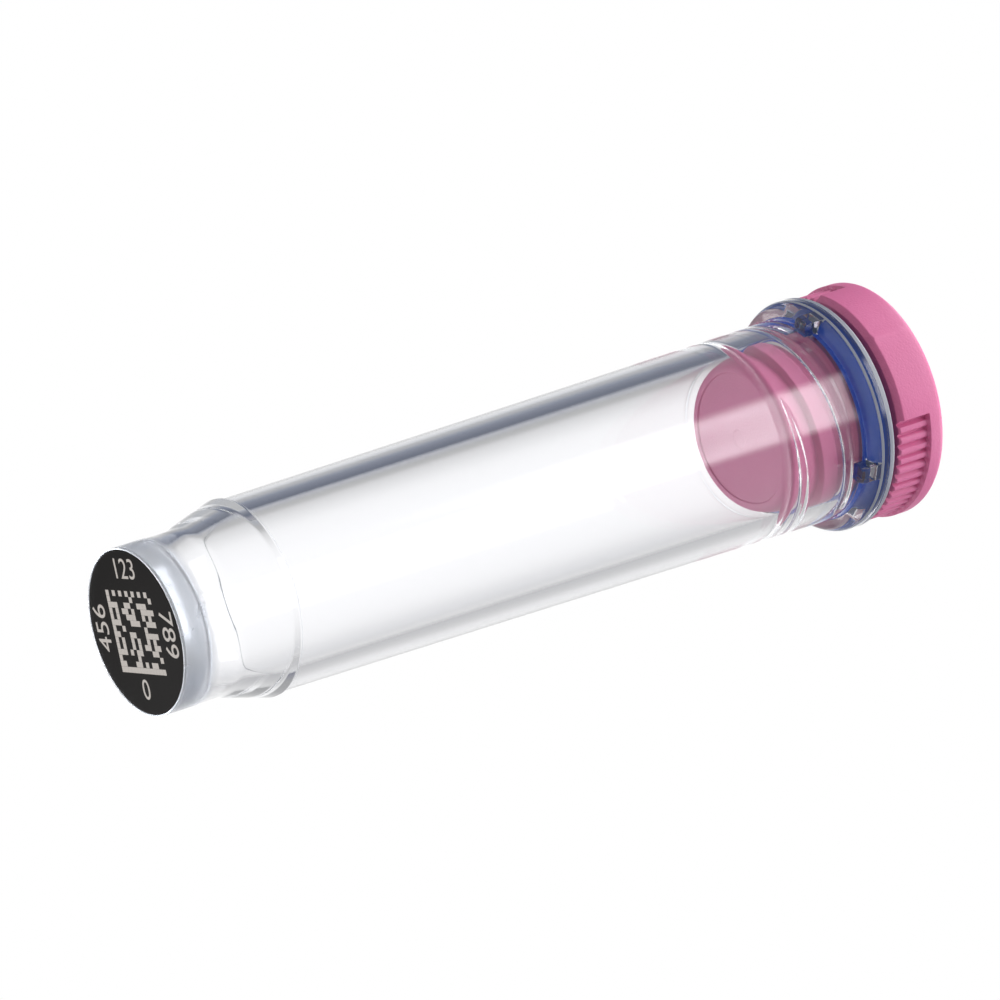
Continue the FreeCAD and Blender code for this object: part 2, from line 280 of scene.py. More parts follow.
@dataclass(frozen=True)
class Columns:
    """Where the columns of a turned shape stand: closer together where its details need them.

    The full turn holds equal repeats from a start angle. Each stop is where a stretch of a repeat ends,
    in degrees past its start, and how many columns the stretch has.
    """

    start: float
    repeats: int
    stops: tuple[tuple[float, int], ...]

    def total(self) -> int:
        """Columns in the full turn."""
        return self.repeats * sum(count for _, count in self.stops)

    def place(self, angle: float) -> float:
        """Find where a column belongs.

        Args:
            angle: Its angle in degrees while the columns are evenly spaced.

        Returns:
            Its new angle.
        """
        total = self.total()
        repeat, within = divmod(angle / FULL_TURN * total + 1e-6, total / self.repeats)
        past, reached = 0.0, 0
        for end, count in self.stops:
            if within <= reached + count:
                past += (end - past) * (within - reached) / count
                break
            past, reached = end, reached + count
        return self.start + repeat * FULL_TURN / self.repeats + past

    def slide(self, bm: BMesh) -> None:
        """Move the evenly spaced columns of a turned mesh to their places.

        Args:
            bm: The mesh.
        """
        for vert in bm.verts:
            radius = vert.co.xy.length
            if radius > TINY * MM:
                place = direction(self.place(angle_of(vert.co))) * radius
                vert.co = (place.x, place.y, vert.co.z)


@dataclass(frozen=True)
class Ridge:
    """A screw ridge of rounded trapezoid section on a wall, with its ends drawn out or blunt.

    A drawn end grows from end_width of the full width, and reaches its height before its width.
    """

    start_angle: float
    start_height: float
    lead: float
    span: float
    depth: float
    half_root: float
    half_crest: float
    draw_in: float
    draw_out: float
    end_width: float = 0.12
    end_curve: float = 0.6
    rise_first: float = 1.4

    def height_at(self, angle: float, height: float, radius: float) -> float:
        """How far the ridge stands off the wall at a place.

        Args:
            angle: The place's angle in degrees.
            height: Its height in millimetres.
            radius: The wall's radius in millimetres.

        Returns:
            The ridge's height in millimetres.
        """
        best = 0.0
        first = (angle - self.start_angle) % FULL_TURN
        for along in (first - FULL_TURN, first, first + FULL_TURN):
            inside = min(max(along, 0.0), self.span)
            beyond = math.radians(along - inside) * radius
            across = height - self.start_height - self.lead * inside / FULL_TURN
            width = min(self.share(inside, self.draw_in), self.share(self.span - inside, self.draw_out))
            root, crest = self.half_root * width, self.half_crest * width
            away = math.hypot(beyond, across)
            if away < root:
                best = max(best, self.depth * min(1.0, width * self.rise_first) * ease(away, root, crest))
        return best

    def raise_on(
        self, bm: BMesh, wall: float, side: int,
        heights: tuple[float, float], radii: tuple[float, float],
    ) -> None:
        """Raise the ridge on a turned wall.

        Args:
            bm: The mesh.
            wall: The wall's radius in millimetres.
            side: 1 to raise it outwards, -1 inwards.
            heights: The heights between which it may move the mesh.
            radii: The radii between which it may move it.
        """
        for vert in bm.verts:
            radius, height = vert.co.xy.length / MM, vert.co.z / MM
            if heights[0] < height < heights[1] and radii[0] < radius < radii[1]:
                rise = self.height_at(angle_of(vert.co), height, wall)
                target = wall + side * rise
                if rise > 0.0 and (target - radius) * side > 0.0:
                    set_radius(vert, target)

    def share(self, along: float, drawn: float) -> float:
        """How much of its full width the ridge has at a distance from an end, in degrees."""
        grown = (1.0 - self.end_width) * (along / drawn) ** self.end_curve
        return min(1.0, self.end_width + grown)


def finish_piece(
    bm: BMesh,
    name: str,
    material: Material,
    body: Body,
    node: str | None = None,
    sharp: float = 38.0,
) -> bpy.types.Object:
    """Make an object of a mesh, dress it and hang it on its body.

    Args:
        bm: The finished mesh in metres, which is freed.
        name: The piece's name.
        material: Its finish.
        body: The body that it moves with.
        node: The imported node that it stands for.
        sharp: Edges that turn more than this, in degrees, stay crisp.

    Returns:
        The new object.
    """
    mesh = bpy.data.meshes.new(name)
    bm.to_mesh(mesh)
    bm.free()
    mesh.shade_smooth()
    mesh.set_sharp_from_angle(angle=math.radians(sharp))
    mesh.materials.append(material)
    piece = bpy.data.objects.new(name, mesh)
    bpy.context.scene.collection.objects.link(piece)
    flat_faces_lead = piece.modifiers.new("flat_faces_lead", "WEIGHTED_NORMAL")
    flat_faces_lead.keep_sharp = True
    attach(piece, body.value)
    if node:
        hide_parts(node)
    log.info("%s: %d faces, rides on %s", name, len(mesh.polygons), body.value)
    return piece


# ---------------------------------------------------------------- finishes


@dataclass(frozen=True)
class ClearPolypropylene:
    """Clarified polypropylene, injection moulded against polished steel.

    It is water-clear where the wall is thin, and milky blue-grey where the foot is thick, because the
    plastic's crystals scatter more light there.
    """

    label: str = "clear_moulded_polypropylene"
    tint: str = "#fcfcfd"
    milk: str = "#d6dae2"
    depth_tint: str = "#c3ccd8"
    depth_density: float = 28.0
    ior: float = 1.49
    polish: float = 0.015
    foot_roughness: float = 0.22
    foot_clear: float = 0.70
    foot_top: float = 1.65
    clear_from: float = 2.25
    lamp_share: float = 0.97
    collar_share: float = 0.50
    collar_z: float = 41.5
    most_bounces: float = 4.5
    swirl: float = 1.4

    def material(self) -> Material:
        """Build the material, hazy below foot_top and clear above clear_from, in millimetres.

        Returns:
            The material.
        """
        material, tree, place = new_material(self.label)
        height = add_node(tree, "ShaderNodeSeparateXYZ", {0: place}).outputs["Z"]
        foot = add_node(
            tree, "ShaderNodeMapRange",
            {"Value": height, "From Min": self.clear_from * MM, "From Max": self.foot_top * MM},
            interpolation_type="SMOOTHSTEP",
        )
        swirl = add_node(
            tree, "ShaderNodeTexNoise",
            {"Vector": place, "Scale": 1.0 / (self.swirl * MM), "Detail": 3.0, "Distortion": 1.2},
        )
        cloudy = add_node(
            tree, "ShaderNodeMapRange",
            {"Value": swirl, "From Min": 0.3, "From Max": 0.7, "To Min": 0.75},
        )
        haze = add_node(tree, "ShaderNodeMath", {0: foot, 1: cloudy}, operation="MULTIPLY")
        colour = add_node(
            tree, "ShaderNodeMix",
            {"Factor": haze, "A": hex_linear(self.tint), "B": hex_linear(self.milk)},
            data_type="RGBA",
        )
        clear = add_node(
            tree, "ShaderNodeMapRange", {"Value": haze, "To Min": 1.0, "To Max": self.foot_clear}
        )
        rough = add_node(
            tree, "ShaderNodeMapRange",
            {"Value": haze, "To Min": self.polish, "To Max": self.foot_roughness},
        )
        plastic = add_node(
            tree, "ShaderNodeBsdfPrincipled",
            {
                "Base Color": colour,
                "Roughness": rough,
                "Transmission Weight": clear,
                "IOR": self.ior,
            },
        )
        path = add_node(tree, "ShaderNodeLightPath").outputs
        trapped = add_node(
            tree, "ShaderNodeMath", {0: path["Ray Depth"], 1: self.most_bounces},
            operation="GREATER_THAN",
        )
        soft_light = add_node(
            tree, "ShaderNodeMath", {0: path["Is Shadow Ray"], 1: path["Is Diffuse Ray"]},
            operation="MAXIMUM",
        )
        straight = add_node(tree, "ShaderNodeMath", {0: soft_light, 1: trapped}, operation="MAXIMUM")
        share = add_node(
            tree, "ShaderNodeMapRange",
            {
                "Value": height,
                "From Min": (self.collar_z - 0.3) * MM,
                "From Max": self.collar_z * MM,
                "To Min": self.lamp_share,
                "To Max": self.collar_share,
            },
        )
        through = add_node(tree, "ShaderNodeBsdfTransparent", {"Color": share})
        surface = add_node(tree, "ShaderNodeMixShader", {0: straight, 1: plastic, 2: through})
        depth = add_node(
            tree, "ShaderNodeVolumeAbsorption",
            {"Color": hex_linear(self.depth_tint), "Density": self.depth_density},
        )
        add_node(tree, "ShaderNodeOutputMaterial", {"Surface": surface, "Volume": depth})
        return material


@dataclass(frozen=True)
class GrainedPolypropylene:
    """Pink polypropylene, moulded in a spark-eroded tool, so it is matt with a fine even grain."""

    colour: str = "#d66f9f"
    deep: str = "#cc6695"
    grain: float = 0.13
    relief: float = 0.030
    roughness: float = 0.48
    spread: float = 0.08
    ior: float = 1.49
    cloud: float = 3.0

    def material(self) -> Material:
        """Build the material, with its grain drawn about twice as coarse as it is, to show.

        Returns:
            The material.
        """
        material, tree, place = new_material("pink_grained_polypropylene")
        grain = add_node(
            tree, "ShaderNodeTexNoise",
            {"Vector": place, "Scale": 1.0 / (self.grain * MM), "Detail": 2.0, "Roughness": 0.6},
        )
        cloud = add_node(
            tree, "ShaderNodeTexNoise", {"Vector": place, "Scale": 1.0 / (self.cloud * MM), "Detail": 1.0}
        )
        colour = add_node(
            tree, "ShaderNodeMix",
            {"Factor": cloud, "A": hex_linear(self.colour), "B": hex_linear(self.deep)},
            data_type="RGBA",
        )
        bump = add_node(
            tree, "ShaderNodeBump",
            {"Height": grain, "Strength": 0.55, "Distance": self.relief * MM},
        )
        rough = add_node(
            tree, "ShaderNodeMapRange",
            {
                "Value": grain,
                "To Min": self.roughness - self.spread,
                "To Max": self.roughness + self.spread,
            },
        )
        plastic = add_node(
            tree, "ShaderNodeBsdfPrincipled",
            {
                "Base Color": colour,
                "Roughness": rough,
                "IOR": self.ior,
                "Normal": bump,
                "Subsurface Weight": 0.12,
                "Subsurface Radius": (1.0, 0.4, 0.5),
                "Subsurface Scale": 0.5 * MM,
            },
        )
        add_node(tree, "ShaderNodeOutputMaterial", {"Surface": plastic})
        return material


@dataclass(frozen=True)
class SealElastomer:
    """Blue thermoplastic elastomer, moulded smooth: a soft satin skin over an even deep colour."""

    colour: str = "#1459da"
    roughness: float = 0.42
    spread: float = 0.06
    ior: float = 1.49
    specular: float = 0.12
    cloud: float = 0.9

    def material(self) -> Material:
        """Build the material.

        Returns:
            The material.
        """
        material, tree, place = new_material("blue_seal_elastomer")
        cloud = add_node(tree, "ShaderNodeTexNoise", {"Vector": place, "Scale": 1.0 / (self.cloud * MM)})
        rough = add_node(
            tree, "ShaderNodeMapRange",
            {
                "Value": cloud,
                "To Min": self.roughness - self.spread,
                "To Max": self.roughness + self.spread,
            },
        )
        rubber = add_node(
            tree, "ShaderNodeBsdfPrincipled",
            {
                "Base Color": hex_linear(self.colour),
                "Roughness": rough,
                "IOR": self.ior,
                "Specular IOR Level": self.specular,
            },
        )
        add_node(tree, "ShaderNodeOutputMaterial", {"Surface": rubber})
        return material


@dataclass(frozen=True)
class DiscPlastic:
    """Black laser-markable plastic: a flat, slightly brownish black with a faint sheen."""

    colour: str = "#1c1817"
    roughness: float = 0.55
    specular: float = 0.18
    speck: float = 0.12
    relief: float = 0.004

    def material(self) -> Material:
        """Build the material.

        Returns:
            The material.
        """
        material, tree, place = new_material("black_markable_plastic")
        speck = add_node(tree, "ShaderNodeTexNoise", {"Vector": place, "Scale": 1.0 / (self.speck * MM)})
        bump = add_node(
            tree, "ShaderNodeBump",
            {"Height": speck, "Strength": 0.2, "Distance": self.relief * MM},
        )
        plastic = add_node(
            tree, "ShaderNodeBsdfPrincipled",
            {
                "Base Color": hex_linear(self.colour),
                "Roughness": self.roughness,
                "Specular IOR Level": self.specular,
                "Normal": bump,
            },
        )
        add_node(tree, "ShaderNodeOutputMaterial", {"Surface": plastic})
        return material


@dataclass(frozen=True)
class LaserMark:
    """What a laser leaves on the black plastic: a foamed, dry off-white with uneven whiteness."""

    bright: str = "#f3ece6"
    dull: str = "#e0d8d1"
    foam: float = 0.07

    def material(self) -> Material:
        """Build the material.

        Returns:
            The material.
        """
        material, tree, place = new_material("laser_foamed_mark")
        foam = add_node(tree, "ShaderNodeTexNoise", {"Vector": place, "Scale": 1.0 / (self.foam * MM)})
        colour = add_node(
            tree, "ShaderNodeMix",
            {"Factor": foam, "A": hex_linear(self.bright), "B": hex_linear(self.dull)},
            data_type="RGBA",
        )
        mark = add_node(tree, "ShaderNodeBsdfPrincipled", {"Base Color": colour, "Roughness": 0.8})
        add_node(tree, "ShaderNodeOutputMaterial", {"Surface": mark})
        return material


@dataclass(frozen=True)
class FloorPaper:
    """Pale paper, one-sided: it takes light and shadow from above and is not there from below.

    For the camera it also fades out round the object, so that no far edge shows on the white.
    """

    colour: str = "#f4f4f4"
    fade_from: float = 0.08
    fade_to: float = 0.20

    def material(self) -> Material:
        """Build the material.

        Returns:
            The material.
        """
        material, tree, place = new_material("pale_floor_paper")
        path = add_node(tree, "ShaderNodeLightPath").outputs
        away = add_node(tree, "ShaderNodeVectorMath", {0: place}, operation="LENGTH")
        fade = add_node(
            tree, "ShaderNodeMapRange",
            {"Value": away, "From Min": self.fade_from, "From Max": self.fade_to},
            interpolation_type="SMOOTHSTEP",
        )
        faded = add_node(
            tree, "ShaderNodeMath", {0: fade, 1: path["Is Camera Ray"]}, operation="MULTIPLY"
        )
        gone = add_node(tree, "ShaderNodeNewGeometry").outputs["Backfacing"]
        for part in (
            path["Is Shadow Ray"], path["Is Diffuse Ray"], path["Is Transmission Ray"], faded
        ):
            gone = add_node(tree, "ShaderNodeMath", {0: gone, 1: part}, operation="MAXIMUM")
        paper = add_node(
            tree, "ShaderNodeBsdfDiffuse", {"Color": hex_linear(self.colour), "Roughness": 0.5}
        )
        through = add_node(tree, "ShaderNodeBsdfTransparent")
        surface = add_node(tree, "ShaderNodeMixShader", {0: gone, 1: paper, 2: through})
        add_node(tree, "ShaderNodeOutputMaterial", {"Surface": surface})
        return material


# ---------------------------------------------------------------- the tube


@dataclass
class Tube:
    """The clear tube: foot, shoulder, tapered body, ribbed collar, stepped bore and inner thread.

    The lines are where the two halves of the mould, or its inserts, meet: they are a little frosted.
    Their whitish frost is also a painted highlight: it stands in for the bright lines that light draws
    along the collar's lower edge, the ribs' edges and the rim. The collar's one lies between line_low and
    line_high above its underside, out from line_r.
    """

    finish: ClearPolypropylene = field(default_factory=ClearPolypropylene)
    foot_r: float = 4.33
    shoulder_r: float = 5.14
    body_foot_r: float = 5.03
    body_r: float = 5.43
    collar_r: float = 6.20
    skirt_z: float = 3.45
    band_z: float = 6.35
    shoulder_z: float = 6.50
    rib_z: float = 40.70
    collar_z: float = 41.50
    rim_z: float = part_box("tube")[1].z / MM
    seat_r: float = 4.24
    seat_z: float = 0.20
    floor_r: float = 3.20
    floor_z: float = 1.90
    bore_foot_r: float = 4.12
    bore_r: float = 4.30
    thread_r: float = 4.60
    relief_z: float = 36.86
    relief_rise: float = 0.30
    mouth_r: float = 5.25
    mouth_z: float = 41.60
    collar_under: float = 0.75
    rib_angle: float = 38.2
    rib_count: int = 4
    rib_half: float = 0.45
    rib_tip: float = 6.15
    rib_columns: int = 7
    wall_columns: int = 57
    rib_soft: float = 0.05
    rib_foot: float = 0.35
    rib_line: float = 0.50
    row_step: float = 0.034
    collar_step: float = 0.07
    line_low: float = 0.44
    line_high: float = 0.58
    line_r: float = 5.85
    rim_line: float = 0.34
    rim_line_r: float = 6.06
    rib_reach: float = 4.5
    rib_block_r: float = 5.50
    rib_edge_r: float = 5.60
    rib_edge_area: float = 0.006
    gate_step: float = 0.05
    gate_angle: float = -7.0
    gate_z: float = 1.82
    gate_size: float = 0.20
    gate_rise: float = 0.05
    # painted highlight: this frost's whitish diffuse share stands in for the bright lines on the collar's
    # lower edge, the ribs' edges and the rim
    frost_and_highlight: ClearPolypropylene = ClearPolypropylene(
        label="frosted_line_and_painted_highlight", foot_top=100.0, clear_from=101.0, foot_clear=0.58,
        foot_roughness=0.40,
    )
    rib_finish: ClearPolypropylene = ClearPolypropylene(
        label="lightly_frosted_rib", foot_top=100.0, clear_from=101.0, foot_clear=0.98,
        foot_roughness=0.12,
    )
    thread: Ridge = Ridge(
        start_angle=-14.4, start_height=37.48, lead=2.85, span=457.4, depth=0.30,
        half_root=0.37, half_crest=0.10, draw_in=45.0, draw_out=6.0,
    )

    def section(self) -> Outline:
        """Draw the tube's section, with finer rows where the gate, the lines and the thread need them.

        Returns:
            The section from the axis under the foot, over the rim, to the axis in the bore.
        """
        corners = soften(
            [
                Corner(0.0, self.seat_z),
                Corner(self.seat_r, self.seat_z, 0.02),
                Corner(self.seat_r, 0.0, 0.02),
                Corner(self.foot_r, 0.0, 0.04),
                Corner(self.foot_r, self.skirt_z, 2.0),
                Corner(self.shoulder_r, self.band_z, 0.12),
                Corner(self.shoulder_r, self.shoulder_z, 0.08),
                Corner(self.body_foot_r, self.shoulder_z, 0.06),
                Corner(self.body_r - 0.01, self.rib_z),
                Corner(self.body_r, self.collar_z, 0.06),
                Corner(self.collar_r, self.collar_z, self.collar_under),
                Corner(self.collar_r, self.rim_z, 0.14),
                Corner(self.mouth_r + 0.10, self.rim_z, 0.05),
                Corner(self.mouth_r, self.rim_z - 0.10, 0.05),
                Corner(self.mouth_r, self.mouth_z, 0.06),
                Corner(self.thread_r, self.mouth_z, 0.05),
                Corner(self.thread_r, self.relief_z + self.relief_rise, 0.5),
                Corner(self.bore_r, self.relief_z, 0.5),
                Corner(self.bore_foot_r, self.shoulder_z, 0.9),
                Corner(self.floor_r, self.floor_z, 0.6),
                Corner(0.0, self.floor_z),
            ],
            steps=7,
        )
        turn = max(range(len(corners)), key=lambda i: corners[i][1])
        outer, inner = corners[: turn + 1], corners[turn:]
        gate = self.gate_size * 2
        outer = add_rows(outer, self.gate_z - gate, self.gate_z + gate, self.gate_step)
        outer = add_rows(outer, self.collar_z + 0.3, self.rim_z - 0.16, self.collar_step)
        inner = add_rows(inner, self.relief_z, self.mouth_z, self.row_step)
        return outer + inner[1:]

    def columns(self) -> Columns:
        """Lay out the columns so that each rib's sides fall on two of them.

        Returns:
            The columns.
        """
        half = math.degrees(math.asin(self.rib_half / self.body_r))
        pitch = FULL_TURN / self.rib_count
        stops = ((2 * half, self.rib_columns), (pitch, self.wall_columns))
        return Columns(self.rib_angle - half, self.rib_count, stops)

    def raise_ribs(self, bm: BMesh) -> None:
        """Draw the four rack ribs out of the wall under the collar.

        Args:
            bm: The tube's mesh.
        """
        half = math.degrees(math.asin(self.rib_half / self.body_r)) + 0.05
        top = self.collar_z + self.collar_under
        for number in range(self.rib_count):
            centre = self.rib_angle + number * FULL_TURN / self.rib_count
            axis, across = direction(centre), direction(centre + 90.0)
            faces = [
                face for face in bm.faces
                if all(
                    self.rib_z - SLACK < vert.co.z / MM < top
                    and self.body_foot_r < vert.co.xy.length / MM < self.rib_tip
                    and abs(turn_between(angle_of(vert.co), centre)) < half
                    for vert in face.verts
                )
            ]
            made = bmesh.ops.extrude_face_region(bm, geom=faces)["geom"]
            bmesh.ops.delete(bm, geom=faces, context="FACES")
            tips = [item for item in made if isinstance(item, BMVert)]
            for vert in tips:
                level = max(min(vert.co.dot(across), self.rib_half * MM), -self.rib_half * MM)
                place = axis * (self.rib_tip * MM) + across * level
                vert.co = (place.x, place.y, vert.co.z)
            self.soften_rib(bm, tips, across)

    def soften_rib(
        self, bm: BMesh, tips: list[BMVert], across: Vector
    ) -> None:
        """Round the lower end of one rib well and its long edges a little.

        Args:
            bm: The tube's mesh.
            tips: The vertices of the rib's outer face.
            across: The direction across the rib.
        """
        lowest = min(vert.co.z for vert in tips)
        level = {vert for vert in tips if vert.co.z < lowest + SLACK * MM}
        foot = dict.fromkeys(
            edge for vert in tips if vert in level for edge in vert.link_edges
            if set(edge.verts) <= level
        )
        made = bmesh.ops.bevel(
            bm, geom=list(foot), offset=self.rib_foot * MM, offset_type="OFFSET", segments=8,
            profile=0.5, affect="EDGES", clamp_overlap=True, material=-1,
        )
        bm.normal_update()
        moved = made["verts"] + [vert for vert in tips if vert.is_valid]
        near = dict.fromkeys(face for vert in moved for face in vert.link_faces)
        side_on, end_on = 0.95, 0.5
        sides = [face for face in near if abs(face.normal.dot(across)) > side_on]
        wall = (self.body_r + 0.05) * MM
        top = (self.collar_z + self.rib_line) * MM
        edges = dict.fromkeys(
            edge for side in sides for edge in side.edges
            if all(vert.co.xy.length > wall and vert.co.z < top for vert in edge.verts)
            and any(abs(face.normal.dot(across)) < end_on for face in edge.link_faces)
        )
        bmesh.ops.bevel(
            bm, geom=list(edges), offset=self.rib_soft * MM, offset_type="OFFSET", segments=3,
            profile=0.5, affect="EDGES", clamp_overlap=True, material=-1,
        )

    def raise_gate(self, bm: BMesh) -> None:
        """Raise the small scar that the moulding gate leaves on the side of the foot.

        Args:
            bm: The tube's mesh.
        """
        for vert in bm.verts:
            above = vert.co.z / MM - self.gate_z
            if abs(above) < self.gate_size and vert.co.xy.length > self.seat_r * MM:
                across = math.radians(turn_between(angle_of(vert.co), self.gate_angle)) * self.foot_r
                away = math.hypot(across, above)
                rise = self.gate_rise * ease(away, self.gate_size, self.gate_size * 0.3)
                set_radius(vert, vert.co.xy.length / MM + rise)

    def lay_frost_and_highlight(self, bm: BMesh) -> None:
        """Give the frosted finish to the lines, the ledge and the ribs' edges, and the ribs their own; on
        all but the ledge its whiteness is a painted highlight.

        Args:
            bm: The tube's mesh.
        """
        low, high = self.collar_z + self.line_low, self.collar_z + self.line_high
        ledge_z, ledge_half = self.shoulder_z - 0.03, 0.05
        pitch = FULL_TURN / self.rib_count
        for face in bm.faces:
            centre = face.calc_center_median() / MM
            radius = centre.xy.length
            turn = angle_of(centre) - self.rib_angle
            rib = round(turn / pitch) * pitch
            by_rib = abs(turn - rib) < self.rib_reach and centre.z < high
            across = abs(face.normal.dot(direction(self.rib_angle + rib + 90.0)))
            small = face.calc_area() < self.rib_edge_area * MM * MM
            line = radius > self.line_r and low < centre.z < high
            rim = radius > self.rim_line_r and centre.z > self.rim_z - self.rim_line
            ledge = radius > self.body_foot_r + SLACK and abs(centre.z - ledge_z) < ledge_half
            slanted = 0.3 < across < 0.96
            edge = by_rib and small and slanted and radius > self.rib_edge_r
            # the collar's line, the rim and the ribs' edges get the whitish frost as a painted highlight;
            # the ledge gets it as plain frost
            if line or rim or edge or ledge:
                face.material_index = 1
            elif by_rib and radius > self.rib_block_r and centre.z > self.rib_z - SLACK:
                face.material_index = 2

    def build(self) -> bpy.types.Object:
        """Model and dress the tube.

        Returns:
            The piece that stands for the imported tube.
        """
        columns = self.columns()
        bm = turned(self.section(), columns.total())
        columns.slide(bm)
        heights = (self.relief_z - 0.2, self.mouth_z + SLACK)
        radii = (self.bore_r - SLACK, self.thread_r + 0.06)
        self.thread.raise_on(bm, self.thread_r, -1, heights, radii)
        self.raise_gate(bm)
        self.raise_ribs(bm)
        bmesh.ops.recalc_face_normals(bm, faces=bm.faces)
        self.lay_frost_and_highlight(bm)
        piece = finish_piece(
            bm, "clear_tube", self.finish.material(), Body.VIAL, node="tube"
        )
        piece.data.materials.append(self.frost_and_highlight.material())
        piece.data.materials.append(self.rib_finish.material())
        return piece


# ---------------------------------------------------------------- the coded disc


@dataclass
class CodedDisc:
    """The black disc in the foot, with a made-up square of dots and plain digits burnt into it."""

    finish: DiscPlastic = field(default_factory=DiscPlastic)
    mark: LaserMark = field(default_factory=LaserMark)
    radius: float = 4.23
    face_z: float = 0.012
    back_z: float = 0.195
    mark_proud: float = 0.006
    code_side: float = 4.24
    code_turn: float = -11.2
    cells: int = 14
    cell_gap: float = 0.012
    em_per_height: float = 1.36

    def build(self) -> list[bpy.types.Object]:
        """Model and dress the disc and its marks.

        Returns:
            The disc and the marks.
        """
        section = soften(
            [
                Corner(0.0, self.face_z),
                Corner(self.radius, self.face_z, 0.03),
                Corner(self.radius, self.back_z, 0.03),
                Corner(0.0, self.back_z),
            ],
            steps=3,
        )
        disc = finish_piece(
            turned(section, 192), "coded_disc", self.finish.material(), Body.VIAL,
            node="code_disc",
        )
        material = self.mark.material()
        return [disc, self.build_code(material), *self.build_digits(material)]

    def is_marked(self, row: int, column: int) -> bool:
        """Tell whether a cell of the made-up code is burnt: two full sides, two dashed, dots inside.

        Args:
            row: The cell's row.
            column: The cell's column.

        Returns:
            Whether the laser marks it.
        """
        last = self.cells - 1
        if column == 0 or row == 0:
            return True
        if row == last:
            return column % 2 == 0
        if column == last:
            return row % 2 == 0
        return (row * row + 3 * column + row * column) % 5 < 2 or (row * 2 + column) % 7 == 3

    def build_code(self, material: Material) -> bpy.types.Object:
        """Lay the square of dots, each burnt on its own with a hairline between.

        Args:
            material: The mark's finish.

        Returns:
            The piece.
        """
        bm = bmesh.new()
        bmesh.ops.create_grid(
            bm, x_segments=self.cells, y_segments=self.cells, size=self.code_side / 2 * MM
        )
        pitch = self.code_side / self.cells
        rims = bmesh.ops.inset_individual(
            bm, faces=bm.faces[:], thickness=self.cell_gap / 2 * MM
        )["faces"]
        bmesh.ops.delete(bm, geom=rims, context="FACES")
        dark = []
        for face in bm.faces:
            spot = face.calc_center_median() / MM
            column = int((spot.x + self.code_side / 2) / pitch)
            row = int((spot.y + self.code_side / 2) / pitch)
            if not self.is_marked(row, column):
                dark.append(face)
        bmesh.ops.delete(bm, geom=dark, context="FACES")
        return self.lay_mark(bm, "dot_code", material)

    def build_digits(self, material: Material) -> list[bpy.types.Object]:
        """Set the plain digits round the code, each row turned, then moved right and up.

        Args:
            material: The mark's finish.

        Returns:
            The pieces.
        """
        layout = (
            ("123", 0.0, 1.10, 0.10, 3.20),
            ("456", 90.0, 1.24, -3.12, 0.12),
            ("789", -90.0, 1.24, 3.12, 0.02),
            ("0", 0.0, 1.10, -0.18, -3.00),
        )
        pieces = []
        for text, turn, tall, x, y in layout:
            curve = bpy.data.curves.new("digits_" + text, "FONT")
            curve.body = text
            curve.size = tall * self.em_per_height * MM
            curve.align_x = "CENTER"
            curve.align_y = "CENTER"
            curve.resolution_u = 6
            holder = bpy.data.objects.new(curve.name, curve)
            bpy.context.scene.collection.objects.link(holder)
            bpy.context.view_layer.update()
            mesh = bpy.data.meshes.new_from_object(
                holder.evaluated_get(bpy.context.evaluated_depsgraph_get())
            )
            bm = bmesh.new()
            bm.from_mesh(mesh)
            bpy.data.objects.remove(holder)
            bpy.data.meshes.remove(mesh)
            bmesh.ops.remove_doubles(bm, verts=bm.verts, dist=TINY * MM)
            bm.transform(
                Matrix.Translation(Vector((x, y, 0.0)) * MM)
                @ Matrix.Rotation(math.radians(turn), 4, "Z")
            )
            pieces.append(self.lay_mark(bm, "digits_" + text, material))
        return pieces

    def lay_mark(
        self, bm: BMesh, name: str, material: Material
    ) -> bpy.types.Object:
        """Turn a flat mark face down on the disc and give it its thin foamed relief.

        Args:
            bm: The mark, flat, as it reads from below, in metres.
            name: The piece's name.
            material: The mark's finish.

        Returns:
            The piece.
        """
        bm.transform(
            Matrix.Scale(-1.0, 4, Vector((0.0, 1.0, 0.0)))
            @ Matrix.Rotation(math.radians(90.0 + self.code_turn), 4, "Z")
        )
        made = bmesh.ops.extrude_face_region(bm, geom=list(bm.faces), use_keep_orig=True)["geom"]
        for item in made:
            if isinstance(item, BMVert):
                item.co.z -= self.mark_proud * MM
        bmesh.ops.recalc_face_normals(bm, faces=bm.faces)
        bmesh.ops.translate(bm, verts=bm.verts, vec=UP * (self.face_z * MM))
        return finish_piece(bm, name, material, Body.VIAL)


# ---------------------------------------------------------------- the seal ring


@dataclass
class SealRing:
    """The blue ring between the tube's mouth and the cap's neck.

    It is squeezed against the mouth, so it wets the clear plastic and its colour shows through with no
    mirror-like air gap. For that its lower outer half stands a hair inside the tube's wall and seat.
    """

    finish: SealElastomer = field(default_factory=SealElastomer)
    inner_r: float = 4.50
    outer_r: float = 5.258
    seat_z: float = 41.592
    high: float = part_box("seal_ring")[1].z / MM
    draft: float = 0.06
    draft_tall: float = 0.45

    def build(self) -> bpy.types.Object:
        """Model and dress the ring.

        Returns:
            The piece.
        """
        middle = (self.inner_r + self.outer_r) / 2
        section = soften(
            [
                Corner(middle, self.high),
                Corner(self.inner_r, self.high, 0.08),
                Corner(self.inner_r, self.seat_z, 0.12),
                Corner(self.outer_r, self.seat_z, 0.05),
                Corner(self.outer_r, self.high - self.draft_tall),
                Corner(self.outer_r - self.draft, self.high, 0.12),
                Corner(middle, self.high),
            ]
        )
        return finish_piece(
            turned(section[:-1], 192, closed=True), "blue_seal_ring", self.finish.material(),
            Body.SEAL, node="seal_ring",
        )


# ---------------------------------------------------------------- the cap


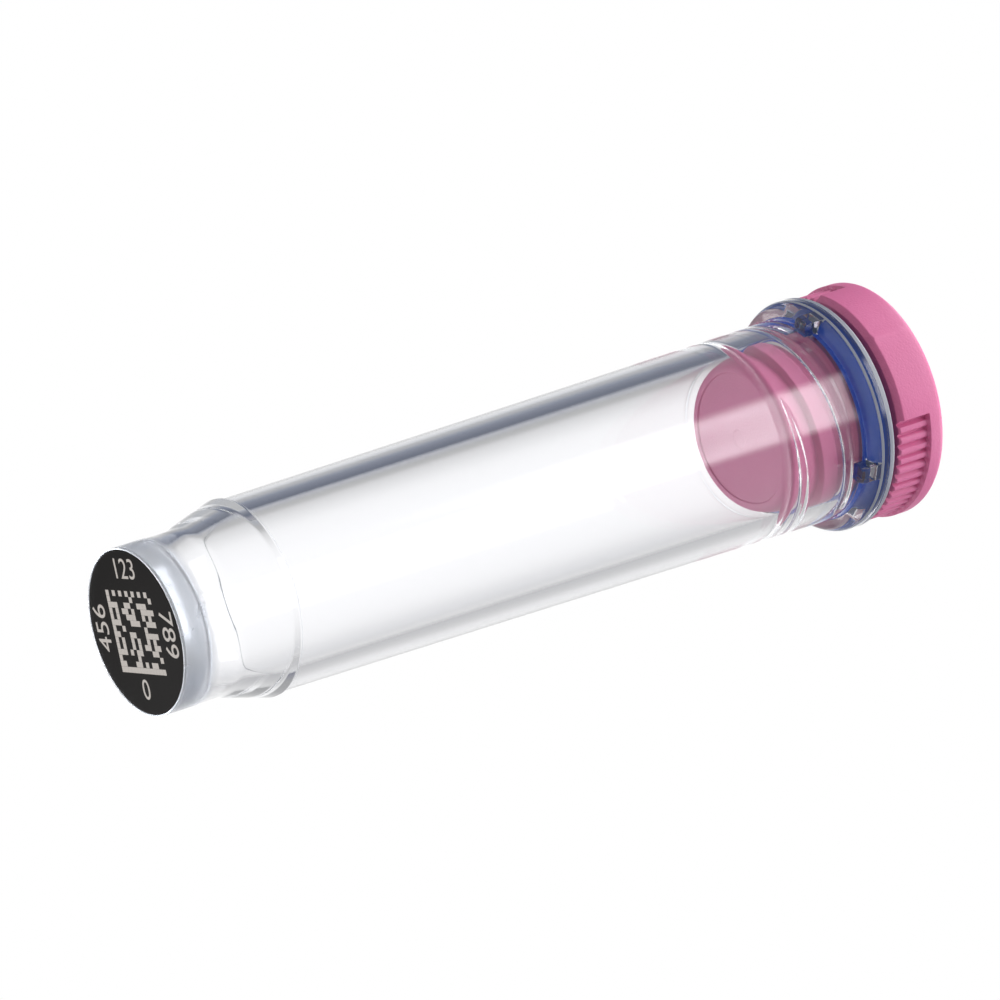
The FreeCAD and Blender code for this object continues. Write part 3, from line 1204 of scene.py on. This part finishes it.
@dataclass
class Cap:
    """The pink cap: head with two ribbed grips, neck, and hollow plug with its screw ridge."""

    finish: GrainedPolypropylene = field(default_factory=GrainedPolypropylene)
    head_r: float = 6.25
    head_z: float = 43.20
    top_z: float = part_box("cap")[1].z / MM
    plug_z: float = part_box("cap")[0].z / MM
    plug_r: float = 4.20
    lip: float = 0.07
    neck_r: float = 4.45
    neck_z: float = 41.50
    socket_r: float = 3.00
    socket_z: float = 38.76
    grip_angle: float = 15.8
    grip_pitch: float = 5.7
    grip_grooves: int = 17
    grip_margin: float = 2.0
    grip_r: float = 6.07
    grip_top: float = 45.07
    groove_depth: float = 0.20
    groove_half: float = 0.15
    grip_end: float = 0.35
    grip_land: float = 1.35
    crown: float = 0.03
    plain_columns: int = 58
    seam_angle: float = -27.0
    seam_rise: float = 0.03
    seam_short: float = 0.60
    nub_rise: float = 0.07
    nub_z: float = 0.30
    nub_size: float = 0.28
    per_groove: int = 8
    row_step: float = 0.035
    thread: Ridge = Ridge(
        start_angle=-80.0, start_height=38.73, lead=2.85, span=270.0, depth=0.30,
        half_root=0.65, half_crest=0.42, draw_in=22.0, draw_out=22.0,
    )

    def grip_span(self) -> float:
        """How many degrees one grip takes."""
        return (self.grip_grooves - 1) * self.grip_pitch + 2 * self.grip_margin

    def columns(self) -> Columns:
        """Lay out the columns, close together on the grips and at their ends.

        Returns:
            The columns.
        """
        span, end, half_turn = self.grip_span(), self.grip_end, FULL_TURN / 2
        stops = (
            (end, 2),
            (self.grip_land, 2),
            (span - self.grip_land, self.per_groove * self.grip_grooves),
            (span - end, 2),
            (span + end, 2),
            (half_turn - end, self.plain_columns),
            (half_turn, 2),
        )
        return Columns(self.grip_angle, 2, stops)

    def section(self) -> Outline:
        """Draw the cap's section, with finer rows on the plug and at the head's foot.

        Returns:
            The section from the axis under the plug, round the head, to the axis in the socket.
        """
        chamfer, gate_r, gate_deep, lip_r = 0.28, 0.45, 0.10, self.plug_r - 0.66
        points = soften(
            [
                Corner(0.0, self.plug_z + gate_deep),
                Corner(gate_r, self.plug_z + gate_deep, 0.05),
                Corner(gate_r + 0.08, self.plug_z + self.lip, 0.05),
                Corner(lip_r - 0.06, self.plug_z + self.lip, 0.03),
                Corner(lip_r, self.plug_z, 0.03),
                Corner(self.plug_r, self.plug_z, 0.55),
                Corner(self.plug_r, self.neck_z - (self.neck_r - self.plug_r), 0.1),
                Corner(self.neck_r, self.neck_z, 0.1),
                Corner(self.neck_r, self.head_z, 0.08),
                Corner(self.head_r - chamfer, self.head_z, 0.05),
                Corner(self.head_r, self.head_z + chamfer, 0.10),
                Corner(self.head_r, self.grip_top - 0.05),
                Corner(self.head_r, self.grip_top - 0.02),
                Corner(self.head_r, self.grip_top + 0.02),
                Corner(self.head_r, self.grip_top + 0.05),
                Corner(self.head_r, self.top_z, 0.38),
                Corner(self.socket_r + 0.25, self.top_z, 0.08),
                Corner(self.socket_r, self.top_z - 0.25, 0.08),
                Corner(self.socket_r, self.socket_z, 0.4),
                Corner(0.0, self.socket_z),
            ]
        )
        peak = max(range(len(points)), key=lambda i: points[i][0])
        outer, inner = points[:peak], points[peak:]
        outer = add_rows(outer, self.plug_z + 0.6, self.neck_z, self.row_step)
        return add_rows(outer, self.head_z + 0.05, self.head_z + 0.4, 0.04) + inner

    def grip_radius(self, angle: float) -> float | None:
        """Find the radius that the grip leaves at an angle.

        Args:
            angle: The place's angle in degrees.

        Returns:
            The radius in millimetres, or None where there is no grip.
        """
        edge = 0.1
        past = (angle - self.grip_angle + 2 * edge) % (FULL_TURN / 2) - 2 * edge
        if not edge < past < self.grip_span() - edge:
            return None
        nearest = round((past - self.grip_margin) / self.grip_pitch)
        nearest = min(max(nearest, 0), self.grip_grooves - 1)
        off = abs(past - self.grip_margin - nearest * self.grip_pitch)
        away = math.radians(off) * self.grip_r
        land = self.grip_pitch / 2 * math.radians(1.0) * self.grip_r
        crown = self.crown * ease(away, land, self.groove_half * 0.6)
        return self.grip_r - crown - self.groove_depth * ease(away, self.groove_half, 0.04)

    def cut_grips(self, bm: BMesh) -> None:
        """Press the two ribbed grips into the head's side.

        Args:
            bm: The cap's mesh.
        """
        soft = 0.045
        for vert in bm.verts:
            radius, height = vert.co.xy.length / MM, vert.co.z / MM
            if self.head_z - SLACK < height < self.grip_top + soft and radius > self.grip_r - 0.25:
                left = self.grip_radius(angle_of(vert.co))
                if left is not None and left < radius:
                    share = ease(height, self.grip_top + soft, self.grip_top - soft)
                    set_radius(vert, radius + (left - radius) * share)

    def raise_seam(self, bm: BMesh) -> None:
        """Raise the mould's parting seam up the plain side of the head, with a nub at its foot.

        Args:
            bm: The cap's mesh.
        """
        reach, one_column = 3.0, 0.1
        side = [
            (vert, abs(turn_between(angle_of(vert.co), self.seam_angle)))
            for vert in bm.verts if vert.co.xy.length > (self.head_r - 0.3) * MM
        ]
        nearest = min(away for _, away in side)
        for vert, away in side:
            height = vert.co.z / MM - self.head_z - self.nub_z
            if away < reach and vert.co.z / MM < self.top_z - self.seam_short + self.nub_z:
                across = math.radians(away) * self.head_r
                rise = self.nub_rise * ease(math.hypot(across, height), self.nub_size, 0.08)
                rise += self.seam_rise if away < nearest + one_column else 0.0
                set_radius(vert, vert.co.xy.length / MM + rise)

    def build(self) -> bpy.types.Object:
        """Model and dress the cap.

        Returns:
            The piece.
        """
        columns = self.columns()
        bm = turned(self.section(), columns.total())
        columns.slide(bm)
        heights, radii = (self.plug_z, self.neck_z + 0.2), (self.plug_r - 0.6, self.head_r)
        self.thread.raise_on(bm, self.plug_r, 1, heights, radii)
        self.cut_grips(bm)
        self.raise_seam(bm)
        bmesh.ops.recalc_face_normals(bm, faces=bm.faces)
        return finish_piece(
            bm, "pink_screw_cap", self.finish.material(), Body.CAP, node="cap"
        )


# ---------------------------------------------------------------- the studio


@dataclass
class Viewpoint:
    """A long lens that looks up at the foot from in front and below.

    The foot's place is given in the camera's own axes, in millimetres: right, up and towards it.
    """

    lens: float = 295.2
    sensor: float = 36.0
    foot_place: tuple[float, float, float] = (-17.97, -6.54, -404.5)
    lean_away: float = 58.4
    roll: float = 17.7

    def build(self) -> bpy.types.Object:
        """Make the camera and choose it.

        Returns:
            The camera.
        """
        lean, roll = math.radians(self.lean_away), math.radians(self.roll)
        foot = Vector(self.foot_place)
        up = Vector(
            (math.sin(lean) * math.cos(roll), math.sin(lean) * math.sin(roll), -math.cos(lean))
        )
        towards = -foot.normalized()
        front = (towards - up * towards.dot(up)).normalized()
        side = front.cross(up)
        if side.y > 0:
            side = -side
        to_camera = Matrix((side, -front, up)).transposed()
        turn = to_camera.transposed()
        data = bpy.data.cameras.new("long_lens")
        data.lens = self.lens
        data.sensor_width = self.sensor
        data.clip_start = 0.01
        data.clip_end = 10.0
        camera = bpy.data.objects.new("camera", data)
        camera.matrix_world = Matrix.Translation(turn @ (-foot * MM)) @ turn.to_4x4()
        bpy.context.scene.collection.objects.link(camera)
        bpy.context.scene.camera = camera
        return camera


@dataclass(frozen=True)
class Softbox:
    """A rectangular lamp that faces the tube's middle, placed by its angle, height angle and distance."""

    name: str
    angle: float
    height_angle: float
    distance: float
    wide: float
    tall: float
    brightness: float
    soft: float = 0.12
    aim: Vector = Vector((0.0, 0.0, 0.023))

    def build(self) -> bpy.types.Object:
        """Make the lamp.

        Returns:
            The lamp.
        """
        data = bpy.data.lights.new(self.name, "AREA")
        data.shape = "RECTANGLE"
        data.size, data.size_y = self.wide, self.tall
        data.energy = self.brightness * math.pi * self.wide * self.tall
        self.fade_edges(data)
        lamp = bpy.data.objects.new(self.name, data)
        lamp.visible_camera = False
        rise = math.radians(self.height_angle)
        out = direction(self.angle) * math.cos(rise) + UP * math.sin(rise)
        place = self.aim + out * self.distance
        lamp.matrix_world = Matrix.Translation(place) @ out.to_track_quat("Z", "Y").to_matrix().to_4x4()
        bpy.context.scene.collection.objects.link(lamp)
        return lamp

    def fade_edges(self, data: bpy.types.AreaLight) -> None:
        """Let the lamp's cloth darken softly towards its edges.

        Args:
            data: The lamp.
        """
        data.use_nodes = True
        tree = data.node_tree
        tree.nodes.clear()
        where = add_node(tree, "ShaderNodeNewGeometry").outputs["Parametric"]
        parts = add_node(tree, "ShaderNodeSeparateXYZ", {0: where}).outputs
        edges = []
        for axis in ("X", "Y"):
            inward = add_node(
                tree, "ShaderNodeMath", {0: parts[axis], 1: 0.5, 2: 0.5}, operation="PINGPONG"
            )
            edge = add_node(
                tree, "ShaderNodeMapRange", {"Value": inward, "From Max": self.soft},
                interpolation_type="SMOOTHSTEP",
            )
            edges.append(edge)
        level = add_node(tree, "ShaderNodeMath", {0: edges[0], 1: edges[1]}, operation="MULTIPLY")
        glow = add_node(tree, "ShaderNodeEmission", {"Strength": level})
        add_node(tree, "ShaderNodeOutputLight", {"Surface": glow})


@dataclass
class Studio:
    """A pale floor that hides nothing from below, a white surround and soft lamps.

    The cards are the surround's colours: an angle from -Y, then red, green and blue.
    """

    floor_finish: FloorPaper = field(default_factory=FloorPaper)
    floor_side: float = 1.2
    floor_drop: float = 0.02
    ambient: float = 0.42
    lamps: tuple[Softbox, ...] = (
        Softbox("key_softbox", -8.5, 41.5, 0.35, 0.34, 0.14, 4.8, 0.2),
        Softbox("top_panel", -15.0, 66.0, 0.40, 0.34, 0.20, 3.4),
        Softbox("left_strip", -70.0, 56.0, 0.35, 0.26, 0.12, 6.5),
        Softbox("right_strip", 62.0, 56.0, 0.35, 0.26, 0.12, 6.0),
        Softbox("low_back_lamp", 170.0, -44.0, 0.40, 0.28, 0.24, 2.8),
        Softbox("back_strip", 178.0, 56.0, 0.40, 0.30, 0.14, 2.0),
    )
    cards: tuple[tuple[float, float, float, float], ...] = (
        (-180.0, 0.45, 0.45, 0.45),
        (-150.0, 0.60, 0.60, 0.60),
        (-90.0, 0.70, 0.70, 0.70),
        (-64.0, 0.60, 0.60, 0.60),
        (-56.0, 0.57, 0.57, 0.58),
        (-47.0, 0.58, 0.58, 0.59),
        (-37.0, 0.68, 0.68, 0.68),
        (-25.0, 0.88, 0.88, 0.88),
        (-14.0, 0.97, 0.97, 0.97),
        (-8.0, 1.10, 1.10, 1.10),
        (0.0, 1.20, 1.20, 1.20),
        (8.0, 1.10, 1.10, 1.10),
        (12.0, 0.95, 0.95, 0.95),
        (17.0, 0.80, 0.80, 0.80),
        (21.0, 0.52, 0.52, 0.52),
        (25.0, 0.43, 0.43, 0.43),
        (29.0, 0.39, 0.40, 0.43),
        (36.0, 0.24, 0.27, 0.34),
        (44.0, 0.18, 0.20, 0.26),
        (54.0, 0.12, 0.14, 0.19),
        (62.0, 0.33, 0.33, 0.38),
        (70.0, 0.42, 0.42, 0.42),
        (90.0, 0.45, 0.45, 0.45),
        (180.0, 0.45, 0.45, 0.45),
    )

    def build(self) -> None:
        """Make the floor, the lamps and the surround, and set the view transform."""
        self.build_floor()
        for lamp in self.lamps:
            lamp.build()
        self.build_surround()
        bpy.context.scene.view_settings.view_transform = "Standard"

    def build_floor(self) -> None:
        """Lay the floor just under the foot."""
        bm = bmesh.new()
        bmesh.ops.create_grid(bm, x_segments=1, y_segments=1, size=self.floor_side / 2)
        bmesh.ops.translate(bm, verts=bm.verts, vec=UP * (-self.floor_drop * MM))
        mesh = bpy.data.meshes.new("studio_floor")
        bm.to_mesh(mesh)
        bm.free()
        mesh.materials.append(self.floor_finish.material())
        floor = bpy.data.objects.new("studio_floor", mesh)
        bpy.context.scene.collection.objects.link(floor)

    def build_surround(self) -> None:
        """Make a world that is white for the camera, with cards round it for gloss and clear walls."""
        world = bpy.data.worlds.new("studio_surround")
        world.use_nodes = True
        bpy.context.scene.world = world
        tree = world.node_tree
        tree.nodes.clear()
        path = add_node(tree, "ShaderNodeLightPath").outputs
        toward = add_node(tree, "ShaderNodeTexCoord").outputs["Generated"]
        parts = add_node(tree, "ShaderNodeSeparateXYZ", {0: toward}).outputs
        left = add_node(tree, "ShaderNodeMath", {0: parts["X"], 1: -1.0}, operation="MULTIPLY")
        angle = add_node(tree, "ShaderNodeMath", {0: left, 1: parts["Y"]}, operation="ARCTAN2")
        turn = add_node(
            tree, "ShaderNodeMapRange", {"Value": angle, "From Min": -math.pi, "From Max": math.pi}
        )
        cards = add_node(tree, "ShaderNodeValToRGB", {"Fac": turn})
        stops = cards.color_ramp.elements
        for _ in self.cards[2:]:
            stops.new(1.0)
        for stop, (card_angle, *colour) in zip(stops, self.cards):
            stop.position = (card_angle + FULL_TURN / 2) / FULL_TURN
            stop.color = (*colour, 1.0)
        around = add_node(
            tree, "ShaderNodeMix", {"Factor": path["Is Camera Ray"], "A": cards, "B": grey(1.0)},
            data_type="RGBA",
        )
        lit = add_node(
            tree, "ShaderNodeMix",
            {"Factor": path["Is Diffuse Ray"], "A": around, "B": grey(self.ambient)},
            data_type="RGBA",
        )
        background = add_node(tree, "ShaderNodeBackground", {"Color": lit, "Strength": 1.0})
        add_node(tree, "ShaderNodeOutputWorld", {"Surface": background})


def main() -> None:
    """Build the studio and every piece, in order."""
    logging.basicConfig(level=logging.INFO, format="%(message)s")
    Viewpoint().build()
    Studio().build()
    for part in (Tube(), CodedDisc(), SealRing(), Cap()):
        made = part.build()
        for piece in made if isinstance(made, list) else [made]:
            log.info("made %s", piece.name)


if __name__ == "__main__":
    main()
